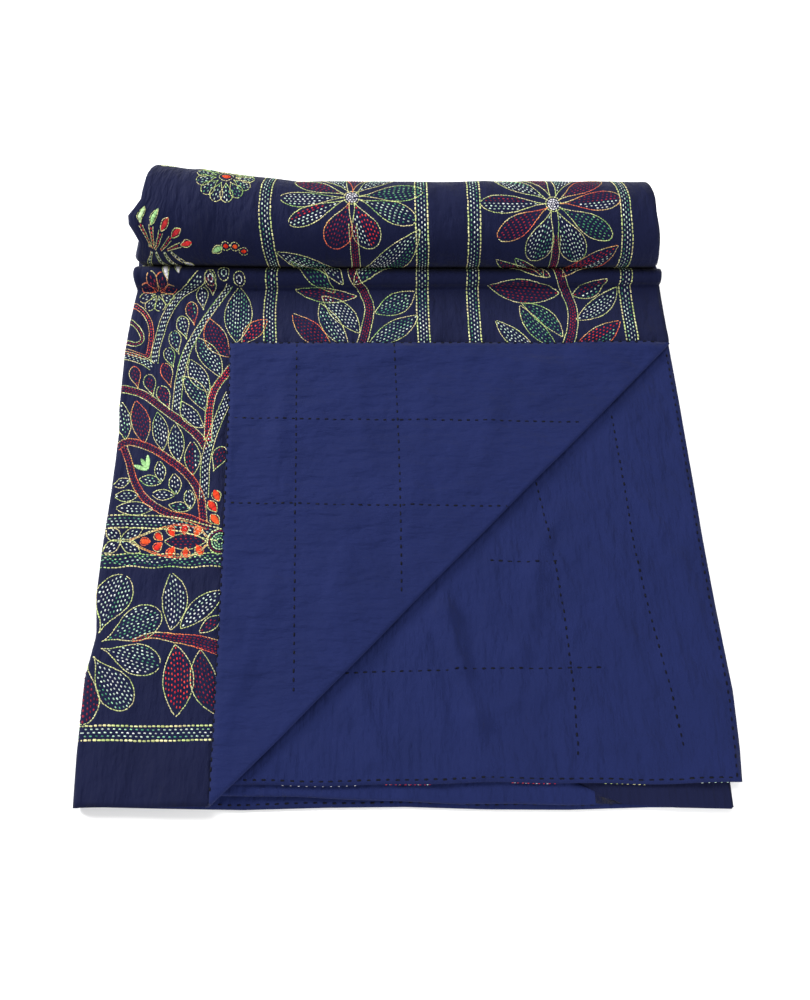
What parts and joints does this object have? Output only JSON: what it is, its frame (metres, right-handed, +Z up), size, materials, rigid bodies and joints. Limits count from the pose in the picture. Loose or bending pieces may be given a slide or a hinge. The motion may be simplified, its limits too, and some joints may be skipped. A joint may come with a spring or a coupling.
{
  "type": "kantha quilt",
  "caption": "Folded kantha quilt of two stitched cotton cloths, its far end rolled under and one corner turned back to show the plain backing.",
  "frame": {"origin": "under the middle of the folded quilt's box, on the surface that it rests on", "axes": "+X across the folded width, +Y from the near hem towards the roll, +Z up"},
  "size_m": [0.5856, 0.6372, 0.0932],
  "materials": {
    "navy_cotton": "matt woven cotton with coloured running stitch",
    "royal_blue_cotton": "matt woven cotton with dark running stitch",
    "embroidery_thread": "lightly twisted cotton thread"
  },
  "bodies": {
    "root": {"embroidered_face": "navy_cotton", "plain_backing": "royal_blue_cotton"}
  },
  "joints": []
}
